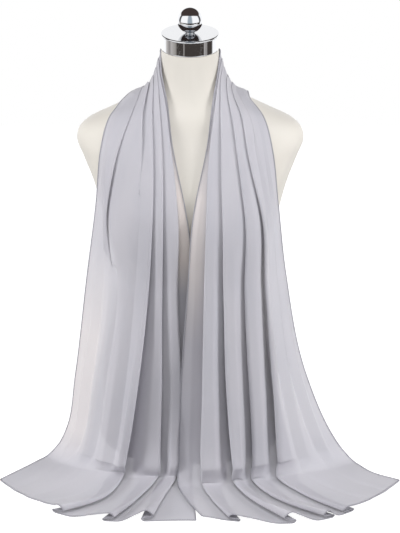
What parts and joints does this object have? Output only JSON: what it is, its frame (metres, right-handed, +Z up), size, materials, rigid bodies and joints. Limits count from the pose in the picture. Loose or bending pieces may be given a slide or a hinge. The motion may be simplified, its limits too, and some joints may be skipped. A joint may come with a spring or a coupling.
{
  "type": "chiffon hijab shawl on a limbless dress form",
  "caption": "Long plain rectangular chiffon shawl hung round the neck of a limbless half-body dress form, both ends falling down the front in soft folds and spreading on the table.",
  "frame": {"origin": "centre of the form's flat base, on the table", "axes": "+Z up along the neck, the front of the form and both falls of the shawl face -Y, +X to the viewer's right of the front"},
  "size_m": [0.7348, 0.4025, 0.853],
  "materials": {
    "chiffon": "matt, semi-sheer",
    "form_skin": "satin",
    "chrome": "mirror polished"
  },
  "bodies": {
    "root": {"form_torso": "form_skin", "neck_cap": "chrome", "finial": "chrome", "shawl_nape": "chiffon", "shawl_left_chest": "chiffon", "shawl_left_waist": "chiffon", "shawl_left_fall": "chiffon", "shawl_left_end": "chiffon", "shawl_right_chest": "chiffon", "shawl_right_waist": "chiffon", "shawl_right_fall": "chiffon", "shawl_right_end": "chiffon"}
  },
  "joints": []
}
